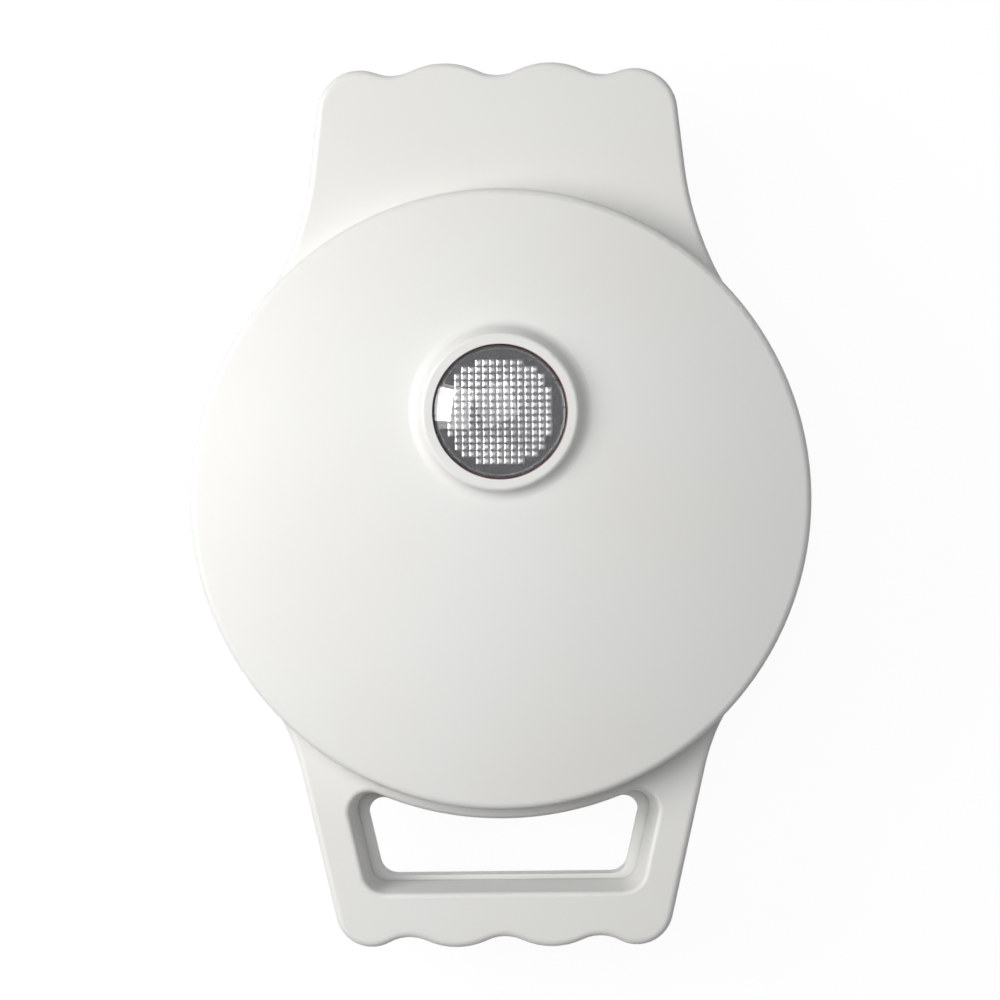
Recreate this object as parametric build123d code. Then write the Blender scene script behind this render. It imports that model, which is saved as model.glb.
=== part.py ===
from build123d import *
import math
import os
from collections import namedtuple

# A mini donut maker that lies closed on its feet: +Z up, the rear hinge lug towards +Y,
# the front handle towards -Y. Lengths are millimetres.
# Every piece is modelled about the drum's own axis and moved along Y at the end, so that
# the origin lies on the table, half way along the whole object.

# Levels above the table
foot_height = 3.0
floor_level = 8.0
base_shoulder = 27.0
base_rim = 43.0
rim_gap = 1.0
lid_shoulder_rise = 18.0
service_room = 6.5
lid_rim = base_rim + rim_gap
lid_shoulder = lid_rim + lid_shoulder_rise
parting_level = base_rim + rim_gap / 2

# The donut plates, whose rings set the size of everything round them
plate_sheet = 1.4
plate_fit = 0.2
plate_gap = 0.4
plate_skirt = 3.4
plate_margin = 10.2
ring_radius = 14.2
ring_depth = 7.2
ring_gap = 4.2
ring_count = 6
groove_round = 0.7
ring_outer_radius = ring_radius + ring_depth
ring_pitch = (2 * ring_outer_radius + ring_gap) / min(1.0, 2 * math.sin(math.pi / ring_count))
plate_radius = ring_pitch + ring_outer_radius + plate_margin

# The two moulded housings
wall = 2.4
collar_wall = 1.8
bezel_width = 9.4
skirt_radius = plate_radius + bezel_width
drum_set_back = 0.6
drum_radius = skirt_radius - drum_set_back
cove = 2.5
edge_round = 2.0
least_round = 0.2
bowl_curve = 28.0
bowl_flat_radius = skirt_radius - bowl_curve
frame_thickness = 2.0
frame_fit = 0.2

# The rear lug and the front handle, each with a scalloped end
lug_length = 37.7
lug_half_width = 53.6
lug_width_set_out = 10.0
lug_taper = 6.5
lug_blend = 90.0
lug_corner = 12.5
lug_scallop_pitch = 30.5
lug_scallop_depth = 3.5
handle_length = 41.0
handle_half_width = 53.4
handle_width_set_out = 10.5
handle_taper = 12.8
handle_blend = 60.0
handle_corner = 10.5
handle_scallop_pitch = 27.5
handle_scallop_depth = 3.0
scallop_dip_share = 0.36

# The finger window through both halves of the handle
window_side_bar = 12.4
window_front_bar = 17.7
window_drum_gap = 6.4
window_front_corner = 4.5
window_rear_corner = 4.0
window_side_ledge = 2.9
window_front_ledge = 1.2
lid_window_draft = 6.0
base_window_draft = 3.0
window_round = 1.5

# The hinge at the rear lug
hinge_inset = 17.7
hinge_rise = 6.0
barrel_radius = 8.5
barrel_half_length = 42.0
barrel_side_gap = 0.8
barrel_split = 11.0
cheek_radius = 8.0
pin_radius = 2.5
pin_inner_end = 16.0
pin_running_clearance = 0.06
pin_seat_clearance = 0.02
pin_cap_radius = 4.5
pin_cap_depth = 1.6
tower_depth = 8.2
tower_set_back = 9.8
tower_head = 4.0
tower_clearance = 1.5
tower_swing_clearance = 0.8

# The cover disc on the lid, and the lamp in its boss
disc_overhang = 1.0
disc_seam = 0.5
disc_edge_height = 3.3
disc_edge_round = 2.4
disc_crown = 10.2
disc_wall = 2.0
disc_rib_inset = 4.4
disc_post_angle = 30.0
boss_y = 24.5
boss_foot_radius = 23.6
boss_top_radius = 21.9
boss_height = 3.4
boss_blend = 3.0
boss_round = 1.2
lens_radius = 19.0
lens_fit = 0.1
lens_sink = 2.4
lens_edge = 0.6
lens_edge_round = 1.4
lens_crown = 6.5
lens_wall = 1.5
seal_height = 0.8
lamp_ledge = 0.8
diffuser_height = 1.4
diffuser_fit = 0.2
lamp_holder_wall = 1.4
lamp_holder_fit = 0.6
lamp_wire_hole = 2.5
neon_radius = 2.8
neon_length = 16.0
neon_spacing = 10.0
neon_rise = 2.0

# The heating elements and their shields
element_radius = 3.2
element_open_angle = 44.0
element_tail = 1.0
element_bend = 5.6
element_clearance = 0.5
spade_width = 5.0
spade_sheet = 0.8
spade_clearance = 0.75
contact_gap = 0.05
shield_sheet = 0.8
shield_inset = 5.1
shield_slope = 2.5
shield_flange = 2.0
stud_radius = 3.0
stud_inset = 18.6
stud_count = 3

# Fasteners
screw_radius = 1.5
screw_clearance = 0.05
screw_head_radius = 3.0
screw_head_height = 1.8
screw_boss_wall = 1.6
rib_width = 2.4
head_clearance = 0.3
frame_screw_length = 8.0
plate_screw_grip = 6.0
plate_screw_bite = 8.0
cover_screw_bite = 4.5
driver_slot = 0.9

# The underside
cover_margin = 8.0
cover_lap = 12.0
cover_sheet = 2.0
cover_round = 0.8
cover_screw_inset = 6.0
cover_screw_count = 4
cover_post_height = 6.0
vent_length = 44.0
vent_width = 3.0
vent_pitch = 8.0
vent_count = 5
leg_x = 38.0
front_leg_inset = 26.0
rear_leg_inset = 12.2
leg_radius = 8.5
leg_flare = 1.5
foot_radius = 7.0
foot_recess = 1.5
foot_fit = 0.1
foot_round = 0.6

# The wiring side
inlet_set_in = 9.2
inlet_rise = 9.5
inlet_radius = 8.0
gland_bore_radius = 3.4
gland_neck_radius = 4.6
gland_flange_radius = 7.0
gland_flange = 1.8
gland_fit = 0.1
gland_neck_length = 6.0
lead_radius = 2.2
lead_offset = 8.0
lead_bend = 4.0
lead_run = 12.0
lead_shoulder_clearance = 4.9
lead_rise = 4.0
lead_dip = 11.0
lead_dip_rise = 5.5
lead_reach = 26.0
lead_reach_rise = 6.5
lead_shield_clearance = 5.0
lead_end = 8.0
thermostat_radius = 8.5
thermostat_height = 7.0
thermostat_y = -20.0
blade_width = 4.8
blade_length = 7.0
block_length = 24.0
block_depth = 11.0
block_height = 11.0
block_set_back = 7.0
block_port_radius = 1.6
block_port_depth = 4.4
block_port_rise = 3.9
block_chamfer = 0.8
block_entry_rise = 5.5
block_pitch = 8.0
fuse_radius = 2.4
fuse_length = 22.0
fuse_y = 18.0

TabSizes = namedtuple("TabSizes", "reach half_width width_at taper blend corner pitch depth")
lug_reach = skirt_radius + lug_length
handle_reach = skirt_radius + handle_length
LUG = TabSizes(lug_reach, lug_half_width, skirt_radius + lug_width_set_out, lug_taper, lug_blend, lug_corner,
               lug_scallop_pitch, lug_scallop_depth)
HANDLE = TabSizes(handle_reach, handle_half_width, skirt_radius + handle_width_set_out, handle_taper,
                  handle_blend, handle_corner, handle_scallop_pitch, handle_scallop_depth)
BEYOND = 2 * handle_reach
middle_shift = (handle_reach - lug_reach) / 2

# Places, levels and radii that follow from the sizes above
hinge_y = lug_reach - hinge_inset
tower_back = hinge_y - tower_set_back
inlet_face = tower_back - inlet_set_in
inlet_z = floor_level + inlet_rise
front_leg_y = skirt_radius - front_leg_inset
rear_leg_y = tower_back - rear_leg_inset
shield_rim_radius = plate_radius - shield_inset
shield_radius = shield_rim_radius - shield_slope
stud_circle = plate_radius - stud_inset
element_circle = ring_pitch
cover_radius = bowl_flat_radius - cover_margin
cover_hole_radius = cover_radius - cover_lap
cover_screw_circle = cover_radius - cover_screw_inset
block_y = cover_hole_radius + block_set_back
land_level = parting_level - plate_gap / 2
plate_underside = land_level - plate_sheet
element_level = land_level - ring_depth - plate_sheet - contact_gap - element_radius
shield_floor = element_level - element_radius - contact_gap
shield_underside = shield_floor - shield_sheet
upper_shield_top = 2 * parting_level - shield_underside
spade_length = service_room + element_level - shield_underside - element_bend - element_tail - spade_clearance
lid_ceiling = upper_shield_top + service_room
lid_top = lid_ceiling + wall
lug_ceiling = lid_shoulder - wall
hinge_z = lid_rim + hinge_rise
tower_front = tower_back - tower_depth
tower_foot = hinge_inset - lug_scallop_depth - wall - tower_swing_clearance
screw_boss_radius = screw_radius + screw_boss_wall
head_bore_radius = screw_head_radius + head_clearance
plate_boss_radius = head_bore_radius + wall / 2
disc_radius = drum_radius + disc_overhang
disc_edge_level = lid_top + disc_edge_height
crown_level = disc_edge_level + disc_crown
boss_level = crown_level + boss_height
lens_seat = boss_level - lens_sink
ledge_radius = lens_radius + lens_fit - lamp_ledge
diffuser_level = lens_seat - diffuser_height
lamp_holder_radius = ledge_radius - lamp_holder_fit
lug_side = lug_half_width - (hinge_y - LUG.width_at) * math.tan(math.radians(lug_taper))


# Plan geometry of the housings

def point_on_line(point, direction, sideways, centre, distance, far):
    """Where a line, shifted sideways, lies at a distance from a centre: the far or the near such point."""
    across = (direction[1], -direction[0])
    start = [point[i] + across[i] * sideways - centre[i] for i in range(2)]
    along = start[0] * direction[0] + start[1] * direction[1]
    root = math.sqrt(along ** 2 - start[0] ** 2 - start[1] ** 2 + distance ** 2)
    step = -along + (root if far else -root)
    return tuple(centre[i] + start[i] + direction[i] * step for i in range(2))


def towards(start, end, distance):
    """The point at a distance from start, on the way to end."""
    length = math.dist(start, end)
    return tuple(start[i] + (end[i] - start[i]) / length * distance for i in range(2))


def short_arc(centre, start, end):
    """Start, middle and end of the shorter arc about a centre."""
    halfway = tuple((start[i] + end[i]) / 2 for i in range(2))
    return [start, towards(centre, halfway, math.dist(centre, start)), end]


def tab_side(tab):
    """A point and the direction of a tab's straight side, for the half with x and y above zero."""
    lean = math.radians(tab.taper)
    return (tab.half_width, tab.width_at), (-math.sin(lean), math.cos(lean))


def half_tab(tab, inset):
    """One half of a tab's outline, as tangent arcs and a line, from the drum out to the centre line."""
    point, direction = tab_side(tab)
    across = (direction[1], -direction[0])
    both = ((tab.pitch / 2) ** 2 + tab.depth ** 2) / (2 * tab.depth)
    dip = scallop_dip_share * both
    bump = both - dip
    blend_centre = point_on_line(point, direction, tab.blend, (0, 0), skirt_radius + tab.blend, True)
    bump_centre = (tab.pitch / 2, tab.reach - bump)
    middle_dip = (0, tab.reach - tab.depth + dip)
    side_dip = (tab.pitch, middle_dip[1])
    corner_centre = point_on_line(point, direction, -tab.corner, side_dip, tab.corner + dip, False)
    drum_end = towards((0, 0), blend_centre, skirt_radius - inset)
    side_start = tuple(blend_centre[i] - across[i] * (tab.blend + inset) for i in range(2))
    side_end = tuple(corner_centre[i] + across[i] * (tab.corner - inset) for i in range(2))
    corner_end = towards(corner_centre, side_dip, tab.corner - inset)
    dip_end = towards(side_dip, bump_centre, dip + inset)
    bump_end = towards(middle_dip, bump_centre, dip + inset)
    middle = (0, tab.reach - tab.depth - inset)
    runs = [short_arc(blend_centre, drum_end, side_start), [side_start, side_end],
            short_arc(corner_centre, side_end, corner_end), short_arc(side_dip, corner_end, dip_end),
            short_arc(bump_centre, dip_end, bump_end), short_arc(middle_dip, bump_end, middle)]
    return runs, drum_end


def outline(inset=0.0):
    """The plan of both housings: round drum, rear lug and front handle, moved inwards by inset."""
    edges = []
    ends = {}
    for side_y, tab in ((1, LUG), (-1, HANDLE)):
        runs, drum_end = half_tab(tab, inset)
        for side_x in (1, -1):
            for run in runs:
                points = [(side_x * x, side_y * y) for x, y in run]
                edges.append(ThreePointArc(*points) if len(points) == 3 else Line(*points))
            ends[side_x, side_y] = (side_x * drum_end[0], side_y * drum_end[1])
    for side_x in (1, -1):
        side = (side_x * (skirt_radius - inset), 0)
        edges.append(ThreePointArc(ends[side_x, 1], side, ends[side_x, -1]))
    return make_face(edges)


def window_plan(side_ledge, front_ledge, growth):
    """The finger window's plan: smaller by its ledges, then larger all round by growth."""
    point, direction = tab_side(HANDLE)
    across = (direction[1], -direction[0])
    sideways = window_side_bar + side_ledge - growth
    side = tuple(point[i] - across[i] * sideways for i in range(2))
    front = handle_reach - window_front_bar - front_ledge + growth
    rear_radius = drum_radius + window_drum_gap - growth
    front_x = side[0] + direction[0] / direction[1] * (front - side[1])
    rear = point_on_line(side, direction, 0.0, (0, 0), rear_radius, True)
    plan = make_face([Line((-front_x, -front), (front_x, -front)), Line((front_x, -front), (rear[0], -rear[1])),
                      ThreePointArc((rear[0], -rear[1]), (0, -rear_radius), (-rear[0], -rear[1])),
                      Line((-rear[0], -rear[1]), (-front_x, -front))])
    plan = fillet(plan.vertices().sort_by(Axis.Y)[:2], window_front_corner + growth)
    return fillet(plan.vertices().sort_by(Axis.Y)[-2:], window_rear_corner + growth)


def window_hole(rim, end, draft, ledges, growth=0.0):
    """The finger window as a tapered hole from the rim to the end, larger all round by growth."""
    flare = abs(end - rim) * math.tan(math.radians(draft))
    start_plan = Pos(0, 0, rim) * window_plan(*ledges, growth)
    end_plan = Pos(0, 0, end) * window_plan(*ledges, growth + flare)
    return loft([start_plan, end_plan], ruled=True)


LID_LEDGES = (0.0, 0.0)
BASE_LEDGES = (window_side_ledge, window_front_ledge)


# Small solids

def slab(plan, low, high):
    """A plan raised straight up between two levels."""
    return extrude(Pos(0, 0, low) * plan, high - low)


def rod(radius, low, high, x=0.0, y=0.0):
    """An upright round bar."""
    return Pos(x, y, (low + high) / 2) * Cylinder(radius, high - low)


def tube(inner, outer, low, high, x=0.0, y=0.0):
    """An upright round pipe."""
    return rod(outer, low, high, x, y) - rod(inner, low - 1, high + 1, x, y)


def cross_rod(radius, start, end, y=hinge_y, z=hinge_z):
    """A round bar along X."""
    return Pos((start + end) / 2, y, z) * Rot(0, 90, 0) * Cylinder(radius, abs(end - start))


def long_rod(radius, start, end, x, z):
    """A round bar along Y."""
    return Pos(x, (start + end) / 2, z) * Rot(90, 0, 0) * Cylinder(radius, abs(end - start))


def block(x0, x1, y0, y1, z0, z1):
    """A box between two corners."""
    return Pos((x0 + x1) / 2, (y0 + y1) / 2, (z0 + z1) / 2) * Box(abs(x1 - x0), abs(y1 - y0), abs(z1 - z0))


def around(circle, count, start=90.0):
    """Points evenly spaced on a circle."""
    angles = [math.radians(start + 360 * i / count) for i in range(count)]
    return [(circle * math.cos(angle), circle * math.sin(angle)) for angle in angles]


def both_sides(shape):
    """A shape and its mirror image across the middle."""
    return shape + mirror(shape, about=Plane.YZ)


def flipped(shape):
    """The mirror image of a piece of the base, in the plane where the two halves part."""
    return mirror(shape, about=Plane.XY.offset(parting_level))


def pan_screw(x, y, seat, length, way):
    """A pan-head screw: its head bears on the seat level, its shank runs up for 1, down for -1."""
    face = seat - way * screw_head_height
    head = rod(screw_head_radius, *sorted((seat, face)), x, y)
    head = fillet(head.edges().filter_by(GeomType.CIRCLE).sort_by(Axis.Z)[0 if way > 0 else -1],
                  screw_head_height * 0.4)
    head -= block(x - screw_head_radius, x + screw_head_radius, y - driver_slot / 2, y + driver_slot / 2,
                  face - way, face + way * screw_head_height * 0.4)
    return head + rod(screw_radius, *sorted((seat, seat + way * length)), x, y)


def countersink(x, y, face, way, clearance=0.0):
    """The cone of a flush screw head: wide at the face, narrow inwards, up for 1, down for -1."""
    depth = screw_head_radius - screw_radius
    wide = screw_head_radius + clearance
    narrow = screw_radius + clearance
    radii = (wide, narrow) if way > 0 else (narrow, wide)
    return Pos(x, y, face + way * depth / 2) * Cone(*radii, depth)


def flush_screw(x, y, face, length, way):
    """A countersunk screw, flush with the face."""
    body = countersink(x, y, face, way) + rod(screw_radius, *sorted((face, face + way * length)), x, y)
    return body - block(x - screw_head_radius, x + screw_head_radius, y - driver_slot / 2, y + driver_slot / 2,
                        face - way, face + way * screw_radius * 0.5)


def pilot(x, y, low, high):
    """The hole that a screw's shank goes into."""
    return rod(screw_radius + screw_clearance, *sorted((low, high)), x, y)


def bent_rod(radius, points, bend):
    """A round bar along straight runs joined by arcs."""
    path = FilletPolyline(*points, radius=bend)
    section = Plane(origin=path @ 0, z_dir=path % 0) * Circle(radius)
    return sweep(section, path=path)


# Where the screws and legs stand

front_bar_y = handle_reach - (handle_scallop_depth + window_front_bar) / 2
frame_ring_x = (plate_radius + plate_fit + skirt_radius - wall - frame_fit) / 2
FRAME_SCREWS = [(x * handle_scallop_pitch * 0.75, -front_bar_y) for x in (-1, 1)] + \
               [(x * barrel_half_length, tower_front - 2 * screw_boss_radius - wall) for x in (-1, 1)] + \
               [(x * frame_ring_x, 0.0) for x in (-1, 1)]
PLATE_STUDS = around(stud_circle, stud_count)
RING_CENTRES = [(0.0, 0.0)] + around(ring_pitch, ring_count, 0.0)
DISC_POSTS = around(stud_circle + 2 * plate_boss_radius, stud_count, disc_post_angle)
COVER_SCREWS = around(cover_screw_circle, cover_screw_count, 45.0)
LEGS = {"front_left": (-leg_x, -front_leg_y), "front_right": (leg_x, -front_leg_y),
        "rear_left": (-leg_x, rear_leg_y), "rear_right": (leg_x, rear_leg_y)}


# The forms that the housings are turned from

def lid_profile(inset):
    """Half section of the lid's drum and shoulder, moved inwards by inset."""
    top = lid_top - inset
    shoulder = lid_shoulder - inset
    reach = drum_radius - inset
    centre = drum_radius + cove
    with BuildSketch(Plane.XZ) as half:
        with BuildLine():
            Polyline((0, lid_rim), (BEYOND, lid_rim), (BEYOND, shoulder), (centre, shoulder))
            RadiusArc((centre, shoulder), (reach, lid_shoulder + cove), cove + inset)
            Polyline((reach, lid_shoulder + cove), (reach, top), (0, top), (0, lid_rim))
        make_face()
    return half.sketch


def base_profile(inset):
    """Half section of the base's bowl and shoulder, moved inwards by inset."""
    bottom = floor_level + inset
    shoulder = base_shoulder + inset
    reach = drum_radius - inset
    centre = drum_radius + cove
    belt = base_shoulder - cove
    with BuildSketch(Plane.XZ) as half:
        with BuildLine():
            Polyline((0, base_rim), (BEYOND, base_rim), (BEYOND, shoulder), (centre, shoulder))
            RadiusArc((centre, shoulder), (reach, belt), -(cove + inset))
            EllipticalCenterArc((bowl_flat_radius, belt), reach - bowl_flat_radius, belt - bottom,
                                start_angle=270, arc_size=90)
            Polyline((bowl_flat_radius, bottom), (0, bottom), (0, base_rim))
        make_face()
    return half.sketch


def turned(profile):
    """A half section turned about the drum's axis."""
    return revolve(profile, Axis.Z)


def largest(shape):
    """The main solid that a cut leaves."""
    return shape.solids().sort_by(SortBy.VOLUME)[-1]


def rounded_outline(body, shoulder, way):
    """The body with the long edge round its shoulder rounded; way is 1 on the lid and -1 on the base."""
    low, high = sorted((shoulder - way * 0.01, shoulder + way * (cove - 0.05)))
    seam_radius = drum_radius + cove

    def on_edge(edge):
        box = edge.bounding_box()
        seam = edge.geom_type == GeomType.CIRCLE and abs(edge.radius - seam_radius) < 0.01
        return low <= box.min.Z and box.max.Z <= high and not seam

    solid = largest(body)
    return solid.fillet(edge_round, [edge for edge in solid.edges() if on_edge(edge)])


def rounded_mouth(body, shoulder):
    """The body with the finger window's edge on the shoulder rounded."""
    faces = [face for face in body.faces() if face.inner_wires() and abs(face.center().Z - shoulder) < 0.01]
    mouth = [face for face in faces if face.center().Y < -drum_radius][0]
    return body.fillet(window_round, mouth.inner_wires()[0].edges())


def outer_form(profile, rim, shoulder, way, draft, ledges):
    """A housing's solid outer form, with its finger window cut and both long edges rounded."""
    body = turned(profile(0.0)) & slab(outline(), *sorted((rim, rim + way * BEYOND)))
    body = rounded_outline(body, shoulder, way)
    body = largest(body - window_hole(rim - way, shoulder + way, draft, ledges))
    return rounded_mouth(body, shoulder)


def inner_form(profile, rim, shoulder, way, draft, ledges):
    """The space inside a housing, which leaves a wall outside and a thinner collar round the window."""
    body = turned(profile(wall)) & slab(outline(wall), *sorted((rim, rim + way * BEYOND)))
    collar = window_hole(rim + way * frame_thickness, shoulder + way, draft, ledges, collar_wall)
    return body - collar


# The lid

def lid_housing():
    """The upper shell: scalloped shoulder, drum, finger window, screw bosses and hinge cheeks."""
    settings = (lid_profile, lid_rim, lid_shoulder, 1, lid_window_draft, LID_LEDGES)
    cheek_start = barrel_half_length + barrel_side_gap
    body = outer_form(*settings) - inner_form(*settings)
    cheek = cross_rod(cheek_radius, cheek_start, lug_side - wall / 2)
    cheek += block(cheek_start, lug_side - wall / 2, hinge_y - cheek_radius, hinge_y + cheek_radius,
                   hinge_z, lug_ceiling + wall / 2)
    body += both_sides(cheek)
    for x, y in FRAME_SCREWS:
        ceiling = lid_ceiling if math.hypot(x, y) < drum_radius - wall else lug_ceiling
        body += rod(screw_boss_radius, lid_rim + frame_thickness, ceiling + wall / 2, x, y)
        body -= pilot(x, y, lid_rim, lid_rim + frame_screw_length)
    for x, y in PLATE_STUDS:
        body += rod(plate_boss_radius, upper_shield_top, lid_ceiling + wall / 2, x, y)
        body -= pilot(x, y, upper_shield_top - 1, lid_top)
        body -= rod(head_bore_radius, upper_shield_top + plate_screw_grip, lid_top + 1, x, y)
    for x, y in DISC_POSTS:
        body -= pilot(x, y, lid_ceiling - 1, lid_top + 1)
    body -= rod(lamp_wire_hole, lid_ceiling - 1, lid_top + 1, 0, boss_y)
    pin_hole = cross_rod(pin_radius + pin_seat_clearance, barrel_half_length, BEYOND)
    cap_hole = cross_rod(pin_cap_radius, lug_side - pin_cap_depth, BEYOND)
    return body - both_sides(pin_hole + cap_hole)


def domed(reach, low, edge_level, rise, rounding):
    """A round solid on Z whose straight side ends in a rounded edge and a crown, tangent to each other."""
    sphere = ((reach - rounding) ** 2 + rise ** 2 - rounding ** 2) / (2 * (rise - rounding))
    centre = (0, edge_level + rise - sphere)
    edge_centre = (reach - rounding, edge_level)
    tangent = towards(centre, edge_centre, sphere)
    with BuildSketch(Plane.XZ) as half:
        with BuildLine():
            Polyline((0, low), (reach, low), (reach, edge_level))
            ThreePointArc(*short_arc(edge_centre, (reach, edge_level), tangent))
            ThreePointArc(*short_arc(centre, tangent, (0, edge_level + rise)))
            Line((0, edge_level + rise), (0, low))
        make_face()
    return turned(half.sketch)


def disc_form(inset, low):
    """The cover disc's solid form, moved inwards by inset, down to a level."""
    rounding = max(disc_edge_round - inset, least_round)
    return domed(disc_radius - inset, low, disc_edge_level, disc_crown - inset, rounding)


def lid_cover():
    """The round cover disc with the lamp's boss."""
    under = lid_top + disc_seam
    side_slope = (boss_foot_radius - boss_top_radius) / boss_height
    root_radius = boss_foot_radius + side_slope * (crown_level - disc_edge_level)
    boss = Cone(root_radius, boss_top_radius, boss_level - disc_edge_level)
    disc = disc_form(0.0, under) + Pos(0, boss_y, (disc_edge_level + boss_level) / 2) * boss
    foot_line = [edge for edge in disc.edges() if edge.bounding_box().min.Z > disc_edge_level + disc_edge_round
                 and edge.bounding_box().max.Z < boss_level - boss_height / 2
                 and edge.length > boss_top_radius * 4
                 and abs(edge.center(CenterOf.BOUNDING_BOX).Y - boss_y) < boss_blend]
    disc = fillet(foot_line, boss_blend)
    rim = [edge for edge in disc.edges() if edge.bounding_box().min.Z > boss_level - 0.01]
    disc = fillet(rim, boss_round)
    disc -= disc_form(disc_wall, under - 1) - rod(boss_foot_radius, under - 2, boss_level, 0, boss_y)
    disc -= rod(ledge_radius, under - 1, boss_level + 1, 0, boss_y)
    disc -= rod(lens_radius + lens_fit, lens_seat, boss_level + 1, 0, boss_y)
    backing = disc_form(disc_wall / 2, lid_top)
    rib_radius = disc_radius - disc_rib_inset
    disc += tube(rib_radius - disc_wall, rib_radius, lid_top, crown_level) & backing
    for x, y in DISC_POSTS:
        disc += rod(screw_boss_radius, lid_top, crown_level, x, y) & backing
        disc -= pilot(x, y, lid_top - 1, lid_top + cover_screw_bite)
    return disc


def frame(plan_rim, way, opening):
    """The flat bezel that closes a housing round its plate; way is 1 on the lid and -1 on the base."""
    low, high = sorted((plan_rim, plan_rim + way * frame_thickness))
    body = slab(outline(wall + frame_fit), low, high) - rod(plate_radius + plate_fit, low - 1, high + 1)
    ledges = LID_LEDGES if way > 0 else BASE_LEDGES
    draft = lid_window_draft if way > 0 else base_window_draft
    body -= window_hole(plan_rim - way, plan_rim + way * (frame_thickness + 1), draft, ledges)
    body -= opening
    for x, y in FRAME_SCREWS:
        body -= pilot(x, y, low - 1, high + 1) + countersink(x, y, plan_rim, way, screw_clearance)
    return body


def hinge_opening(half_width, front):
    """The open part of a frame, through which the hinge towers and the leads pass."""
    return block(-half_width, half_width, front, BEYOND, floor_level, lid_top)


def lid_frame():
    """The bezel under the lid."""
    half_width = barrel_half_length + barrel_side_gap
    cheeks = both_sides(block(half_width - 1, lug_side, hinge_y - cheek_radius - frame_fit,
                              hinge_y + cheek_radius + frame_fit, lid_rim - 1, lid_shoulder))
    return largest(frame(lid_rim, 1, hinge_opening(half_width, tower_front - tower_clearance) + cheeks))


def base_frame():
    """The bezel on the base, whose inner edge shows as the ledge in the finger window."""
    towers = hinge_opening(barrel_half_length + frame_fit, tower_front - frame_fit)
    beyond = block(-BEYOND, BEYOND, tower_back - wall - frame_fit, BEYOND, floor_level, lid_top)
    return largest(frame(base_rim, -1, towers + beyond))


def frame_screws(rim, way):
    """The six flush screws of a frame."""
    return [flush_screw(x, y, rim, frame_screw_length - 1, way) for x, y in FRAME_SCREWS]


def cover_screws():
    """The screws that hold the cover disc, driven up from inside the lid."""
    return [pan_screw(x, y, lid_ceiling, wall + cover_screw_bite - 0.5, 1) for x, y in DISC_POSTS]


# The lamp

def lens():
    """The clear domed window of the lamp."""
    low = lens_seat + seal_height
    inner_round = max(lens_edge_round - lens_wall, least_round)
    dome = domed(lens_radius, low, low + lens_edge, lens_crown, lens_edge_round)
    dome -= domed(lens_radius - lens_wall, low - 1, low + lens_edge, lens_crown - lens_wall, inner_round)
    return Pos(0, boss_y, 0) * dome


def lens_seal():
    """The red ring that the lens sits on."""
    return tube(ledge_radius, lens_radius, lens_seat, lens_seat + seal_height, 0, boss_y)


def lens_diffuser():
    """The disc of small prisms behind the lens, which spreads the lamps' light."""
    return rod(ledge_radius - diffuser_fit, diffuser_level, lens_seat, 0, boss_y)


def lamp_holder():
    """The cup under the diffuser, with a saddle for each lamp."""
    inner = lamp_holder_radius - lamp_holder_wall
    cup = rod(lamp_holder_radius, lid_top, diffuser_level, 0, boss_y)
    cup -= rod(inner, lid_top + lamp_holder_wall, diffuser_level + 1, 0, boss_y)
    cup -= rod(lamp_wire_hole, lid_top - 1, lid_top + lamp_holder_wall + 1, 0, boss_y)
    saddle_top = lid_top + lamp_holder_wall + neon_rise
    for y in (boss_y - neon_spacing / 2, boss_y + neon_spacing / 2):
        cup += block(-neon_length / 4, neon_length / 4, y - neon_radius * 0.7, y + neon_radius * 0.7,
                     lid_top + lamp_holder_wall, saddle_top)
    return cup


def neon_lamps():
    """The power lamp and the ready lamp."""
    level = lid_top + lamp_holder_wall + neon_rise + neon_radius
    lamps = []
    for y in (boss_y - neon_spacing / 2, boss_y + neon_spacing / 2):
        lamp = cross_rod(neon_radius, -neon_length / 2, neon_length / 2, y, level)
        lamps.append(fillet(lamp.edges().filter_by(GeomType.CIRCLE), neon_radius * 0.6))
    return lamps


# The hinge

def hinge_pin(side):
    """A steel pin from the lug's side into the barrel."""
    pin = cross_rod(pin_radius, side * pin_inner_end, side * (lug_side - pin_cap_depth))
    return fillet(pin.edges().filter_by(GeomType.CIRCLE), pin_radius * 0.15)


def pin_cap(side):
    """The plug that covers a pin's end, cut to the slope of the lug."""
    cap = cross_rod(pin_cap_radius - pin_seat_clearance, side * (lug_side - pin_cap_depth), side * BEYOND)
    return largest(cap & slab(outline(0.1), lid_rim, lid_shoulder))


# The base

def tower_section():
    """The side view of a tower: the barrel and the points that its straight sides run to."""
    points = [(tower_back, hinge_z - tower_foot), (tower_front, hinge_z - tower_foot),
              (tower_front, hinge_z - tower_head)]

    def tangent_point(point, side):
        reach = math.dist(point, (hinge_y, hinge_z))
        base_angle = math.atan2(point[1] - hinge_z, point[0] - hinge_y)
        angle = base_angle + side * math.acos(barrel_radius / reach)
        return (hinge_y + barrel_radius * math.cos(angle), hinge_z + barrel_radius * math.sin(angle))

    low_tangent = tangent_point(points[0], 1)
    high_tangent = tangent_point(points[2], -1)
    with BuildSketch(Plane.YZ) as side:
        with BuildLine():
            Polyline(low_tangent, *points, high_tangent)
            ThreePointArc(high_tangent, (hinge_y + barrel_radius, hinge_z), low_tangent)
        make_face()
    return side.sketch


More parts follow.
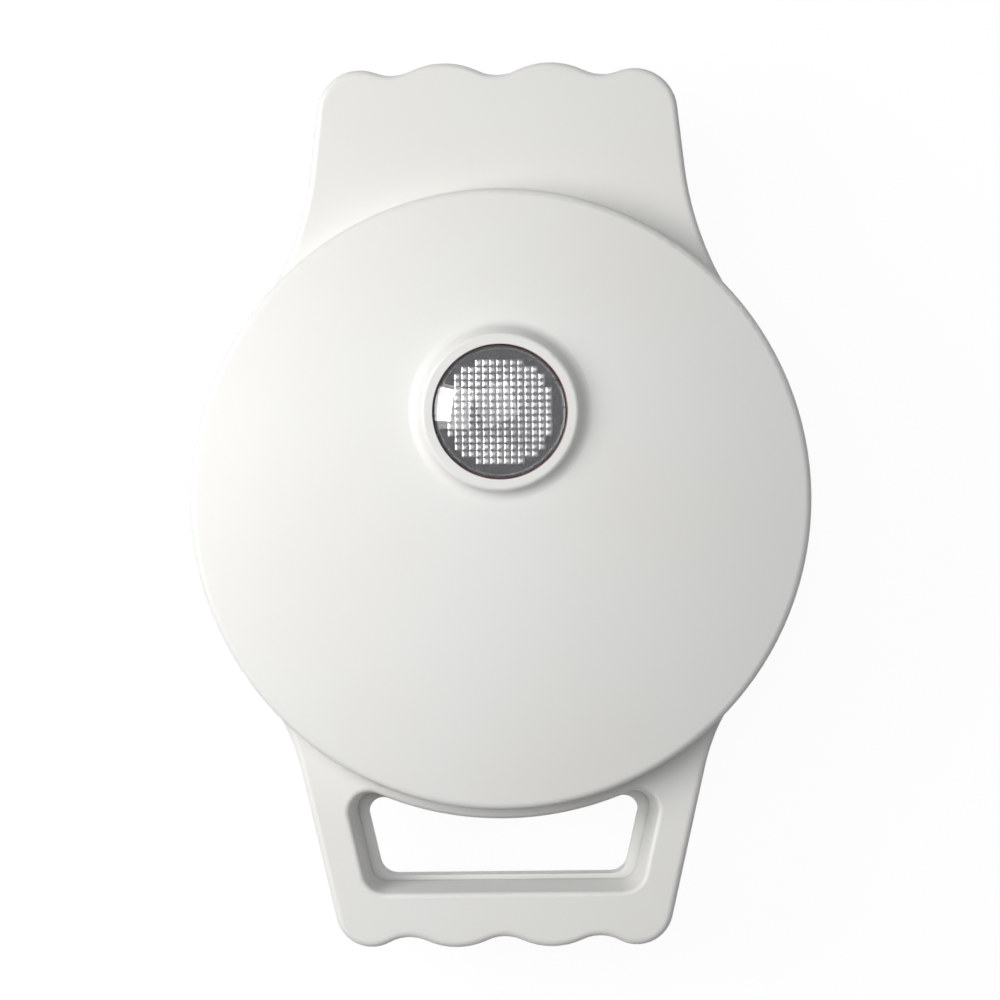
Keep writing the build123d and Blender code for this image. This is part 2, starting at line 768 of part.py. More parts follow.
def base_housing():
    """The lower shell: scalloped handle, bowl, hinge towers, legs, screw bosses and cord inlet."""
    settings = (base_profile, base_rim, base_shoulder, -1, base_window_draft, BASE_LEDGES)
    behind = block(-BEYOND, BEYOND, tower_back, BEYOND, 0, base_rim + 1)
    body = outer_form(*settings)
    hollow = inner_form(*settings)
    for x, y in LEGS.values():
        height = base_shoulder + wall / 2 - foot_height
        body += Pos(x, y, foot_height + height / 2) * Cone(leg_radius, leg_radius + leg_flare, height)
    body += long_rod(inlet_radius, bowl_flat_radius, inlet_face, 0, inlet_z)
    hollow += long_rod(inlet_radius - wall, bowl_flat_radius, inlet_face - wall, 0, inlet_z)
    body -= hollow - block(-BEYOND, BEYOND, tower_back - wall, BEYOND, 0, base_rim + 1)
    body -= behind
    tower = extrude(tower_section(), barrel_half_length - barrel_split)
    body += both_sides(Pos(barrel_split, 0, 0) * tower)
    body -= both_sides(cross_rod(pin_radius + pin_running_clearance, pin_inner_end - 1, barrel_half_length + 1))
    rib = block(frame_ring_x, skirt_radius - wall / 2, -rib_width / 2, rib_width / 2,
                base_shoulder - cove, base_rim - frame_thickness)
    body += both_sides(rib)
    for x, y in FRAME_SCREWS:
        floor = base_shoulder + wall / 2
        body += rod(screw_boss_radius, floor, base_rim - frame_thickness, x, y)
        body -= pilot(x, y, base_rim - frame_screw_length, base_rim)
    for x, y in PLATE_STUDS:
        body += rod(plate_boss_radius, floor_level, shield_underside, x, y)
        body -= pilot(x, y, floor_level, shield_underside + 1)
        body -= rod(head_bore_radius, floor_level - 1, shield_underside - plate_screw_grip, x, y)
    body -= rod(cover_hole_radius, floor_level - 1, floor_level + wall + 1)
    for x, y in COVER_SCREWS:
        body += rod(screw_boss_radius, floor_level, floor_level + cover_post_height, x, y)
        body -= pilot(x, y, floor_level - 1, floor_level + cover_screw_bite)
    for x, y in LEGS.values():
        body -= rod(foot_radius + foot_fit, foot_height - 1, foot_height + foot_recess, x, y)
    return body - long_rod(gland_neck_radius + gland_fit, inlet_face - wall - 1, inlet_face + 1, 0, inlet_z)


def bottom_cover():
    """The vented plate that closes the service hole."""
    low = floor_level - cover_sheet
    cover = rod(cover_radius, low, floor_level)
    cover = fillet(cover.edges().filter_by(GeomType.CIRCLE).sort_by(Axis.Z)[0], cover_round)
    for i in range(vent_count):
        y = (i - (vent_count - 1) / 2) * vent_pitch
        cover -= Pos(0, y, low) * extrude(SlotOverall(vent_length, vent_width), 2 * cover_sheet, both=True)
    for x, y in COVER_SCREWS:
        cover -= pilot(x, y, low - 1, floor_level + 1)
    return cover


def bottom_cover_screws():
    """The screws of the bottom cover."""
    return [pan_screw(x, y, floor_level - cover_sheet, cover_sheet + cover_screw_bite - 0.5, 1)
            for x, y in COVER_SCREWS]


def foot(x, y):
    """A rubber foot, seated in its leg."""
    pad = rod(foot_radius, 0, foot_height + foot_recess, x, y)
    return fillet(pad.edges().filter_by(GeomType.CIRCLE).sort_by(Axis.Z)[0], foot_round)


def cord_gland():
    """The open bush through which the supply comes in."""
    inside = inlet_face - gland_neck_length
    gland = long_rod(gland_neck_radius, inside, inlet_face, 0, inlet_z)
    gland += long_rod(gland_flange_radius, inlet_face, inlet_face + gland_flange, 0, inlet_z)
    gland = fillet(gland.edges().filter_by(GeomType.CIRCLE).sort_by(Axis.Y)[-1], gland_flange * 0.4)
    return gland - long_rod(gland_bore_radius, inside - 1, inlet_face + gland_flange + 1, 0, inlet_z)


# What heats: plate, element, shield and screws are made for the base, and mirrored for the lid

def groove():
    """The space of one ring groove under the land, with its lips rounded."""
    reach = math.sqrt((ring_depth + groove_round) ** 2 - groove_round ** 2)
    bottom = (ring_radius, land_level - ring_depth)
    ends = {}
    with BuildSketch(Plane.XZ) as half:
        with BuildLine():
            for side in (-1, 1):
                lip_centre = (ring_radius + side * reach, land_level - groove_round)
                tangent = towards((ring_radius, land_level), lip_centre, ring_depth)
                ThreePointArc(*short_arc(lip_centre, (lip_centre[0], land_level), tangent))
                ends[side] = tangent
            ThreePointArc(ends[-1], bottom, ends[1])
            Line((ring_radius - reach, land_level), (ring_radius + reach, land_level))
        make_face()
    return turned(half.sketch)


def lower_plate():
    """The donut plate: a pressed disc with seven ring grooves, a turned-down edge and three studs."""
    plate = rod(plate_radius, plate_underside, land_level)
    plate += tube(plate_radius - plate_sheet, plate_radius, land_level - plate_skirt, land_level)
    below = block(-BEYOND, BEYOND, -BEYOND, BEYOND, 0, land_level)
    for x, y in RING_CENTRES:
        plate += (Pos(x, y, land_level) * Torus(ring_radius, ring_depth + plate_sheet)) & below
    for x, y in RING_CENTRES:
        plate -= Pos(x, y, 0) * groove()
    for x, y in PLATE_STUDS:
        plate += rod(stud_radius, shield_floor, plate_underside + plate_sheet / 2, x, y)
        plate -= pilot(x, y, shield_floor - 1, shield_floor + plate_screw_bite)
    return plate


def element_rod(radius):
    """The element's tube: an open ring whose two ends turn down through the shield."""
    start = math.radians(270 + element_open_angle / 2)
    end = math.radians(270 - element_open_angle / 2 + 360)
    middle = (start + end) / 2
    at = [Vector(element_circle * math.cos(a), element_circle * math.sin(a), element_level)
          for a in (start, middle, end)]
    ring = ThreePointArc(*at)
    path = [ring]
    for point, way in ((at[0], -(ring % 0)), (at[2], ring % 1)):
        corner = point + way * element_bend - Vector(0, 0, element_bend)
        halfway = point + way * element_bend * math.sin(math.pi / 4) - \
            Vector(0, 0, element_bend * (1 - math.cos(math.pi / 4)))
        path.append(ThreePointArc(point, halfway, corner))
        path.append(Line(corner, corner - Vector(0, 0, element_tail)))
    wire = Wire(path)
    tail_end = at[0] - (ring % 0) * element_bend - Vector(0, 0, element_bend + element_tail)
    ends = [at[0] - (ring % 0) * element_bend, at[2] + (ring % 1) * element_bend]
    bottom = element_level - element_bend - element_tail
    places = [(point.X, point.Y, bottom) for point in ends]
    section = Plane(origin=tail_end, z_dir=(0, 0, 1)) * Circle(radius)
    return sweep(section, path=wire), places


def lower_element():
    """The sheathed heating element with its two spade terminals."""
    body, places = element_rod(element_radius)
    for x, y, z in places:
        body += block(x - spade_width / 2, x + spade_width / 2, y - spade_sheet / 2, y + spade_sheet / 2,
                      z - spade_length, z + 1)
    return body


def lower_shield():
    """The dished sheet that reflects the heat back to the plate."""
    rim = plate_underside
    lean = shield_sheet
    with BuildSketch(Plane.XZ) as half:
        with BuildLine():
            Polyline((0, shield_underside), (shield_radius, shield_underside),
                     (shield_rim_radius + lean, rim - shield_sheet),
                     (shield_rim_radius + shield_flange, rim - shield_sheet),
                     (shield_rim_radius + shield_flange, rim), (shield_rim_radius, rim),
                     (shield_radius - lean, shield_floor), (0, shield_floor), (0, shield_underside))
        make_face()
    shield = turned(half.sketch)
    for x, y in PLATE_STUDS:
        shield -= pilot(x, y, shield_underside - 1, shield_floor + 1)
    return shield - element_rod(element_radius + element_clearance)[0]


def lower_plate_screws():
    """The long screws that clamp shield and plate to the housing."""
    length = plate_screw_grip + shield_sheet + plate_screw_bite - 1
    return [pan_screw(x, y, shield_underside - plate_screw_grip, length, 1) for x, y in PLATE_STUDS]


# What switches and wires

def thermostat():
    """The bimetal thermostat on the lower shield, with its two blades."""
    top = shield_underside
    low = top - thermostat_height
    body = rod(thermostat_radius, low, top, 0, thermostat_y)
    body = fillet(body.edges().filter_by(GeomType.CIRCLE).sort_by(Axis.Z)[0], thermostat_height * 0.1)
    middle = (low + top) / 2
    for side in (-1, 1):
        x = side * thermostat_radius
        body += block(x - side, x + side * blade_length, thermostat_y - blade_width / 2,
                      thermostat_y + blade_width / 2, middle - spade_sheet / 2, middle + spade_sheet / 2)
    return body


def thermal_fuse():
    """The thermal cut-out that lies against the lower shield."""
    level = shield_underside - contact_gap - fuse_radius
    body = cross_rod(fuse_radius, -fuse_length / 2, fuse_length / 2, fuse_y, level)
    return fillet(body.edges().filter_by(GeomType.CIRCLE), fuse_radius * 0.3)


def terminal_block():
    """The screw terminals on the floor of the base."""
    floor = floor_level + wall
    top = floor + block_height
    body = block(-block_length / 2, block_length / 2, block_y - block_depth / 2, block_y + block_depth / 2, floor, top)
    body = chamfer(body.edges().group_by(Axis.Z)[-1], block_chamfer)
    for i in (-1, 0, 1):
        x = i * block_pitch
        body -= rod(block_port_radius, top - block_port_depth, top + 1, x, block_y)
        body -= long_rod(block_port_radius, block_y - block_depth, block_y + block_depth, x, floor + block_port_rise)
    return body


def lower_lead():
    """The supply lead from the terminals up to the hinge axis, where the lid's lead takes over."""
    x = -lead_offset
    low = floor_level + wall + block_entry_rise
    back = block_y + block_depth / 2
    rise = (tower_front + tower_back - wall) / 2
    over_shoulder = base_shoulder + wall + lead_radius + lead_shoulder_clearance
    points = [(x, back, low), (x, back + lead_run, low), (x, rise, over_shoulder), (x, rise, base_rim + lead_rise),
              (x, hinge_y, hinge_z), (0, hinge_y, hinge_z)]
    return bent_rod(lead_radius, points, lead_bend)


def upper_lead():
    """The supply lead from the hinge axis forward into the lid."""
    x = lead_offset
    level = (upper_shield_top + lid_ceiling) / 2
    points = [(0, hinge_y, hinge_z), (x, hinge_y, hinge_z), (x, hinge_y - lead_dip, hinge_z + lead_dip_rise),
              (x, hinge_y - lead_reach, hinge_z + lead_reach_rise),
              (x, shield_radius + lead_shield_clearance, level), (x, stud_circle - lead_end, level)]
    return bent_rod(lead_radius, points, lead_bend)


NODES = {
    "lid_housing": lid_housing,
    "lid_cover": lid_cover,
    "lid_cover_screws": cover_screws,
    "lid_frame": lid_frame,
    "lid_frame_screws": lambda: frame_screws(lid_rim, 1),
    "lens": lens,
    "lens_seal": lens_seal,
    "lens_diffuser": lens_diffuser,
    "lamp_holder": lamp_holder,
    "neon_lamps": neon_lamps,
    "upper_plate": lambda: flipped(lower_plate()),
    "upper_element": lambda: flipped(lower_element()),
    "upper_shield": lambda: flipped(lower_shield()),
    "upper_plate_screws": lambda: [flipped(screw) for screw in lower_plate_screws()],
    "upper_lead": upper_lead,
    "hinge_pin_left": lambda: hinge_pin(-1),
    "hinge_pin_right": lambda: hinge_pin(1),
    "pin_cap_left": lambda: pin_cap(-1),
    "pin_cap_right": lambda: pin_cap(1),
    "base_housing": base_housing,
    "base_frame": base_frame,
    "base_frame_screws": lambda: frame_screws(base_rim, -1),
    "lower_plate": lower_plate,
    "lower_element": lower_element,
    "lower_shield": lower_shield,
    "lower_plate_screws": lower_plate_screws,
    "bottom_cover": bottom_cover,
    "bottom_cover_screws": bottom_cover_screws,
    "thermostat": thermostat,
    "thermal_fuse": thermal_fuse,
    "terminal_block": terminal_block,
    "lower_lead": lower_lead,
    "cord_gland": cord_gland,
}
for corner, (leg_at_x, leg_at_y) in LEGS.items():
    NODES["foot_" + corner] = lambda x=leg_at_x, y=leg_at_y: foot(x, y)


def placed(shape):
    """A node's solids, moved so that the origin lies half way along the object."""
    shapes = shape if isinstance(shape, list) else [shape]
    solids = [solid for piece in shapes for solid in piece.solids()]
    moved = [Pos(0, middle_shift, 0) * solid for solid in solids]
    return moved[0] if len(moved) == 1 else Compound(children=moved)


os.makedirs("parts", exist_ok=True)
for name, make in NODES.items():
    export_step(placed(make()), f"parts/{name}.step")
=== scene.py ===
# %% [markdown]
# This script dresses a mini donut maker: a white countertop cooker with a hinged lid. The solid
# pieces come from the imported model, in metres, with +Z up, the handle towards -Y and the hinge
# towards +Y. Here they get their finishes, and the lamp gets two small pieces that the camera
# sees: its grid of prisms and the red bead round its lens.

# %% Load the model
import math

import bpy
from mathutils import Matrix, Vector


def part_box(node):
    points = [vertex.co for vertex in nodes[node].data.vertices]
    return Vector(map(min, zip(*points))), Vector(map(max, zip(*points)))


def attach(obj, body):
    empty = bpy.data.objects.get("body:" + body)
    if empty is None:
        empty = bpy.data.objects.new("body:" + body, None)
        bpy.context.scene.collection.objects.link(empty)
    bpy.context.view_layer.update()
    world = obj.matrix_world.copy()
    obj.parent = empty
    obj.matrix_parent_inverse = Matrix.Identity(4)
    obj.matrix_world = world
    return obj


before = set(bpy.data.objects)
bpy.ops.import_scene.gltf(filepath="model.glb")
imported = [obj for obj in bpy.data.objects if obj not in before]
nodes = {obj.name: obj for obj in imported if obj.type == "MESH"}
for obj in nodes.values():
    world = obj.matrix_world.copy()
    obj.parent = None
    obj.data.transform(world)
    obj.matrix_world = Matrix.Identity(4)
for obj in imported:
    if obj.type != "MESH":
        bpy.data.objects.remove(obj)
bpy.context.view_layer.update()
MM = 0.001
print("nodes:", len(nodes))

# %% [markdown]
# The photograph looks straight down on the closed maker, so its camera stands over the cover disc.
# A long lens from less than a metre away gives the slight perspective that opens up the walls of
# the finger window. The maker lies half a degree askew in the frame, so the camera is rolled by
# that much. The focal length is given in pixels of the photograph, because that is how it was
# measured: the disc's edge is at a known height and has a known width in pixels.

# %% Camera
cover_low, cover_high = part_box("lid_cover")
disc_centre = (cover_low + cover_high) / 2
camera_height = 972 * MM
disc_edge_height = 72 * MM
focal_pixels = 3164
image_pixels = 1000
sensor_width = 36
pixel_on_disc = (camera_height - disc_edge_height) / focal_pixels
disc_pixel = Vector((500.8, 499))
roll_degrees = 0.54

off_centre = (disc_pixel - Vector((image_pixels / 2, image_pixels / 2))) * pixel_on_disc
camera_data = bpy.data.cameras.new("camera")
camera_data.sensor_width = sensor_width
camera_data.lens = focal_pixels / image_pixels * sensor_width
camera = bpy.data.objects.new("camera", camera_data)
bpy.context.scene.collection.objects.link(camera)
camera.location = (disc_centre.x - off_centre.x, disc_centre.y + off_centre.y, camera_height)
camera.rotation_euler = (0, 0, math.radians(-roll_degrees))
bpy.context.scene.camera = camera
bpy.context.scene.view_settings.view_transform = "Standard"
print("camera at", tuple(round(v, 4) for v in camera.location))

# %% [markdown]
# Finishes, the world and the prism grid are all trees of nodes. Placing each node and drawing each
# link by hand takes many lines, so two classes keep the trees readable. A Wire wraps a socket, so
# that its maths is written as an expression, and a Network adds any other node in one call.

# %% Nodes as expressions
class Wire:
    """A socket that adds a Math node to its network when it is used in an expression."""

    def __init__(self, network, socket):
        self.network = network
        self.socket = socket

    def maths(self, operation, other):
        return self.network.add("ShaderNodeMath", {"operation": operation}, {0: self, 1: other})

    def __add__(self, other):
        return self.maths("ADD", other)

    def __mul__(self, other):
        return self.maths("MULTIPLY", other)

    def __lt__(self, other):
        return self.maths("LESS_THAN", other)

    def __gt__(self, other):
        return self.maths("GREATER_THAN", other)

    def or_more(self, other):
        """The larger of two values."""
        return self.maths("MAXIMUM", other)

    __radd__ = __add__
    __rmul__ = __mul__


class Network:
    """A tree of nodes that are added one by one."""

    def __init__(self, tree):
        self.tree = tree

    def put(self, socket, value):
        """Link a wire to a socket, or set the socket's own value."""
        if isinstance(value, Wire):
            self.tree.links.new(value.socket, socket)
        elif socket.type == "RGBA" and len(value) == 3:
            socket.default_value = (*value, 1)
        else:
            socket.default_value = value

    def add(self, kind, settings, values, output=0):
        """Add a node: its settings first, then the values or wires of its sockets."""
        node = self.tree.nodes.new(kind)
        for name, value in settings.items():
            setattr(node, name, value)
        for name, value in values.items():
            self.put(node.inputs[name], value)
        return Wire(self, node.outputs[output])

    def blend(self, factor, first, second):
        """One colour fading into another."""
        return self.add("ShaderNodeMix", {"data_type": "RGBA"}, {0: factor, 6: first, 7: second}, 2)

    def seen_directly(self):
        """1 where a ray from the camera, from a mirror or through a clear piece meets this surface."""
        path = self.add("ShaderNodeLightPath", {}, {}).socket.node
        camera_ray, glossy_ray, clear_ray = (Wire(self, path.outputs[f"Is {kind} Ray"])
                                             for kind in ("Camera", "Glossy", "Transmission"))
        return camera_ray.or_more(glossy_ray).or_more(clear_ray)

# %% [markdown]
# A finish is one material. Its patterns are noise in the object's own space, in metres, so a grain
# has its real size on every piece and needs no picture and no unwrapping.

# %% Finishes
class Finish(Network):
    """A material with one surface shader."""

    def __init__(self, name, **settings):
        self.material = bpy.data.materials.new(name)
        self.material.use_nodes = True
        super().__init__(self.material.node_tree)
        self.shader = self.tree.nodes["Principled BSDF"]
        self.place = self.add("ShaderNodeTexCoord", {}, {}, "Object")
        self.set(**settings)

    def set(self, **sockets):
        """Set sockets of the surface itself; an underscore stands for a space."""
        for name, value in sockets.items():
            self.put(self.shader.inputs[name.replace("_", " ")], value)

    def noise(self, size, detail=2.0, stretch=(1, 1, 1)):
        """A cloudy pattern whose lumps are about as large as size, in metres."""
        scaled = self.add("ShaderNodeMapping", {}, {"Vector": self.place, "Scale": stretch})
        return self.add("ShaderNodeTexNoise", {}, {"Vector": scaled, "Scale": 1 / size,
                                                   "Detail": detail})

    def ramp(self, value, low, high):
        """The value stretched so that low becomes 0 and high becomes 1."""
        return self.add("ShaderNodeMapRange", {}, {"Value": value, "From Min": low, "From Max": high})

    def bump(self, height, depth):
        """Relief on the surface, with its real depth in metres."""
        relief = self.add("ShaderNodeBump", {}, {"Height": height, "Distance": depth, "Strength": 1.0})
        self.set(Normal=relief)


def dress(finish, *names):
    """Give CAD nodes a finish."""
    for name in names:
        nodes[name].data.materials.clear()
        nodes[name].data.materials.append(finish.material)
    print(finish.material.name, "on", ", ".join(names))

# %% [markdown]
# The housings are moulded in off-white plastic with a satin skin. Close up, the skin has a fine
# grain that breaks up reflections. A plain roughness would look like wax, so the grain is made as
# relief plus a slight change of roughness, and the white drifts a little towards a warmer one.

# %% White shell
white_colour = (0.83, 0.83, 0.815)
white_warm = (0.815, 0.81, 0.785)
white_shell = Finish("white_shell", IOR=1.47)
cloud = white_shell.ramp(white_shell.noise(60 * MM), 0.35, 0.7)
grain = white_shell.noise(0.45 * MM, detail=3.0)
white_shell.set(Base_Color=white_shell.blend(cloud, white_colour, white_warm),
                Roughness=0.40 + grain * 0.12)
white_shell.bump(grain, 0.012 * MM)
dress(white_shell, "lid_housing", "lid_cover", "base_housing", "pin_cap_left", "pin_cap_right")

# %% [markdown]
# The bezels round the plates, the bottom cover and the lamp's holder are the same plastic out of
# plainer moulds. They could share the shell's finish, but then the parting line and the bezels'
# edges would hardly show, so they are slightly greyer and more matt.

# %% Inner plastic
bezel_pale = (0.78, 0.78, 0.765)
bezel_grey = (0.73, 0.73, 0.71)
inner_bezel = Finish("inner_bezel", IOR=1.47)
bezel_grain = inner_bezel.noise(0.6 * MM, detail=3.0)
inner_bezel.set(Base_Color=inner_bezel.blend(inner_bezel.noise(40 * MM), bezel_pale, bezel_grey),
                Roughness=0.5 + bezel_grain * 0.15)
inner_bezel.bump(bezel_grain, 0.02 * MM)
dress(inner_bezel, "lid_frame", "base_frame", "bottom_cover", "lamp_holder")

# %% [markdown]
# The plates are pressed aluminium with a dark non-stick coat, which is fired in a thin layer with
# pale flecks. A fleck is the middle of a Voronoi cell: cells are even in size but not in place,
# which noise can't do.

# %% Non-stick plates
coat_colour = (0.022, 0.022, 0.024)
fleck_colour = (0.2, 0.2, 0.21)
fleck_spacing = 1.3 * MM
fleck_radius = 0.13
fleck_strength = 0.6
nonstick = Finish("nonstick", Specular_IOR_Level=0.45)
cell_distance = nonstick.add("ShaderNodeTexVoronoi", {}, {"Vector": nonstick.place,
                                                          "Scale": 1 / fleck_spacing})
flecked = cell_distance < fleck_radius
coat = nonstick.noise(0.25 * MM, detail=2.0)
nonstick.set(Base_Color=nonstick.blend(flecked * fleck_strength, coat_colour, fleck_colour),
             Roughness=0.34 + coat * 0.18)
nonstick.bump(coat, 0.01 * MM)
dress(nonstick, "upper_plate", "lower_plate")

# %% [markdown]
# Sheet metal, screws and pins are bare steel. Rolling and turning leave fine lines, and a mirror
# without them looks like glass. The lines are noise stretched along one direction.

# %% Metals
def metal(name, colour, roughness, stretch, grain_size=0.5 * MM):
    """Bare metal with fine lines along the direction that is stretched least."""
    finish = Finish(name, Metallic=1.0)
    lines = finish.noise(grain_size, detail=3.0, stretch=stretch)
    darker = tuple(0.8 * part for part in colour)
    finish.set(Base_Color=finish.blend(lines, darker, colour), Roughness=roughness + lines * 0.14)
    finish.bump(lines, 0.004 * MM)
    return finish


dress(metal("shield_sheet", (0.72, 0.73, 0.74), 0.2, (0.05, 1, 1)), "upper_shield", "lower_shield")
dress(metal("element_sheath", (0.30, 0.28, 0.27), 0.4, (1, 1, 1), 1.5 * MM),
      "upper_element", "lower_element")
dress(metal("pin_steel", (0.62, 0.62, 0.64), 0.22, (0.05, 1, 1)), "hinge_pin_left", "hinge_pin_right")
dress(metal("screw_steel", (0.58, 0.58, 0.57), 0.28, (1, 1, 0.1)),
      "lid_cover_screws", "lid_frame_screws", "upper_plate_screws",
      "base_frame_screws", "lower_plate_screws", "bottom_cover_screws")
dress(metal("fuse_body", (0.75, 0.6, 0.32), 0.25, (0.1, 1, 1)), "thermal_fuse")

# %% [markdown]
# The feet, the leads and the small electrical pieces are rubber and moulded plastic. One function
# makes them all, because they differ only in colour, gloss and the size of their grain.

# %% Rubber and small plastics
def moulded(name, colour, roughness, grain_size, depth):
    """A moulded or rubbery surface in one colour, with a slight mottle and a fine grain."""
    finish = Finish(name)
    mottle = finish.noise(8 * MM)
    skin = finish.noise(grain_size, detail=3.0)
    paler = tuple(min(1.0, part * 1.12 + 0.004) for part in colour)
    finish.set(Base_Color=finish.blend(mottle, colour, paler), Roughness=roughness + skin * 0.15)
    finish.bump(skin, depth)
    return finish


dress(moulded("foot_rubber", (0.028, 0.028, 0.03), 0.62, 0.7 * MM, 0.03 * MM),
      "foot_front_left", "foot_front_right", "foot_rear_left", "foot_rear_right")
dress(moulded("lead_insulation", (0.02, 0.02, 0.022), 0.45, 0.8 * MM, 0.01 * MM),
      "upper_lead", "lower_lead")
dress(moulded("thermostat_body", (0.018, 0.016, 0.015), 0.3, 0.5 * MM, 0.01 * MM), "thermostat")
dress(moulded("terminal_nylon", (0.72, 0.70, 0.62), 0.45, 0.5 * MM, 0.01 * MM), "terminal_block")
dress(moulded("gland_plastic", (0.74, 0.74, 0.72), 0.42, 0.5 * MM, 0.01 * MM), "cord_gland")
dress(moulded("seal_red", (0.48, 0.012, 0.012), 0.35, 0.5 * MM, 0.01 * MM), "lens_seal")

# %% [markdown]
# The lamp is a clear dome over a metallised disc of small square prisms, with two neon lamps
# behind. Clear plastic needs a smooth transmitting surface. The prisms are pressed in thin foil,
# which mirrors softly. The foil's colour has large brighter clouds, which are a painted reflection
# of the lamp's reflector behind the prisms. The disc's flat rim looks almost black.

# %% Lens and prism disc
clear_colour = (1.0, 1.0, 1.0)
neon_colour = (1.0, 0.72, 0.62)
dress(Finish("clear_lens", Base_Color=clear_colour, Roughness=0.0, IOR=1.49, Transmission_Weight=1.0),
      "lens")
dress(Finish("lamp_glass", Base_Color=neon_colour, Roughness=0.05, IOR=1.5, Transmission_Weight=0.9),
      "neon_lamps")

# The brighter foil colour, spread in large clouds, is a painted reflection of the lamp's reflector
# behind the prisms.
foil_dull = (0.14, 0.14, 0.145)
foil_painted_reflection = (0.25, 0.25, 0.255)
prism_metal = Finish("prism_disc", Metallic=1.0)
painted_reflection_cloud = prism_metal.ramp(prism_metal.noise(14 * MM, detail=1.0), 0.35, 0.6)
haze = prism_metal.noise(1.2 * MM)
prism_metal.set(Base_Color=prism_metal.blend(painted_reflection_cloud, foil_dull, foil_painted_reflection),
                Roughness=0.18 + haze * 0.08)

rim_black = (0.008, 0.008, 0.009)
rim_grey = (0.03, 0.03, 0.032)
rim_metal = Finish("rim_metal", Metallic=1.0)
rim_haze = rim_metal.noise(4 * MM)
rim_metal.set(Base_Color=rim_metal.blend(rim_haze, rim_black, rim_grey), Roughness=0.22 + rim_haze * 0.1)
dress(rim_metal, "lens_diffuser")

# %% [markdown]
# The prisms repeat on a square grid inside a circle, so Geometry Nodes make them: a grid of
# points, those outside the circle deleted, and a four-sided cone with a flat top on each. The
# slope of the sides is about half the angle of the light from the zenith, so that they flash.
# The tree's inputs are the real sizes.

# %% Prism grid
prism_sizes = {"Pitch": 1.94 * MM, "Height": 0.22 * MM, "Field": 15.4 * MM}
prism_base_share = 0.92
prism_top_share = 0.42
prism_sides = 4
prisms_across = 2 * math.ceil(prism_sizes["Field"] / prism_sizes["Pitch"]) + 1
corner_reach = 1 / (2 * math.cos(math.pi / prism_sides))
foot_share = prism_base_share * corner_reach
head_share = prism_top_share * corner_reach
disc_low, disc_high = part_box("lens_diffuser")
prism_seat = Vector(((disc_low.x + disc_high.x) / 2, (disc_low.y + disc_high.y) / 2, disc_high.z))


def prism_tree():
    """The tree that sets square prisms on a grid inside a circle."""
    tree = bpy.data.node_groups.new("prism_grid", "GeometryNodeTree")
    for label in prism_sizes:
        tree.interface.new_socket(label, in_out="INPUT", socket_type="NodeSocketFloat")
    tree.interface.new_socket("Geometry", in_out="OUTPUT", socket_type="NodeSocketGeometry")
    web = Network(tree)
    given = tree.nodes.new("NodeGroupInput").outputs
    pitch, height, field = (Wire(web, given[label]) for label in prism_sizes)
    side = pitch * (prisms_across - 1)
    grid = web.add("GeometryNodeMeshGrid", {}, {"Size X": side, "Size Y": side,
                                                "Vertices X": prisms_across,
                                                "Vertices Y": prisms_across}, "Mesh")
    place = web.add("GeometryNodeInputPosition", {}, {})
    reach = web.add("ShaderNodeVectorMath", {"operation": "LENGTH"}, {"Vector": place}, "Value")
    kept = web.add("GeometryNodeDeleteGeometry", {"domain": "POINT"}, {"Geometry": grid,
                                                                       "Selection": reach > field})
    prism = web.add("GeometryNodeMeshCone", {}, {"Vertices": prism_sides, "Side Segments": 1,
                                                 "Fill Segments": 1,
                                                 "Radius Top": pitch * head_share,
                                                 "Radius Bottom": pitch * foot_share,
                                                 "Depth": height}, "Mesh")
    turned = web.add("GeometryNodeTransform", {}, {"Geometry": prism,
                                                   "Rotation": (0, 0, math.pi / prism_sides)})
    copies = web.add("GeometryNodeInstanceOnPoints", {}, {"Points": kept, "Instance": turned})
    seated = web.add("GeometryNodeTransform", {}, {"Geometry": copies, "Translation": prism_seat})
    real = web.add("GeometryNodeRealizeInstances", {}, {"Geometry": seated})
    painted = web.add("GeometryNodeSetMaterial", {}, {"Geometry": real,
                                                      "Material": prism_metal.material})
    web.put(tree.nodes.new("NodeGroupOutput").inputs[0], painted)
    return tree

# %% [markdown]
# A geometry tree lives in a modifier. Its result is turned into a plain mesh and the modifier is
# taken off, because the exported model keeps plain meshes only.

# %% Grow the prisms
def grown(name, tree, values):
    """The plain mesh that a geometry tree makes, as an object at the origin."""
    piece = bpy.data.objects.new(name, bpy.data.meshes.new(name))
    bpy.context.scene.collection.objects.link(piece)
    modifier = piece.modifiers.new("tree", "NODES")
    modifier.node_group = tree
    for socket in tree.interface.items_tree:
        if socket.in_out == "INPUT":
            modifier[socket.identifier] = values[socket.name]
    bpy.context.view_layer.update()
    evaluated = piece.evaluated_get(bpy.context.evaluated_depsgraph_get())
    mesh = bpy.data.meshes.new_from_object(evaluated)
    piece.modifiers.clear()
    piece.data = mesh
    mesh.name = name
    return piece


prisms = grown("lens_prisms", prism_tree(), prism_sizes)
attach(prisms, "lid")
print("prism faces:", len(prisms.data.polygons))

# %% [markdown]
# A hair-thin bead of red sealant fills the joint between the lens and its boss, thickest on the
# right where it was squeezed out. It is a ring of round section. Blender's own torus has one
# thickness all round, so the points are set here: round a small circle whose size changes on its
# way round the lens.

# %% Sealant bead
bead_thickness = 0.14 * MM
bead_unevenness = 0.4
bead_depth = 0.1 * MM
joint_gap = 0.05 * MM


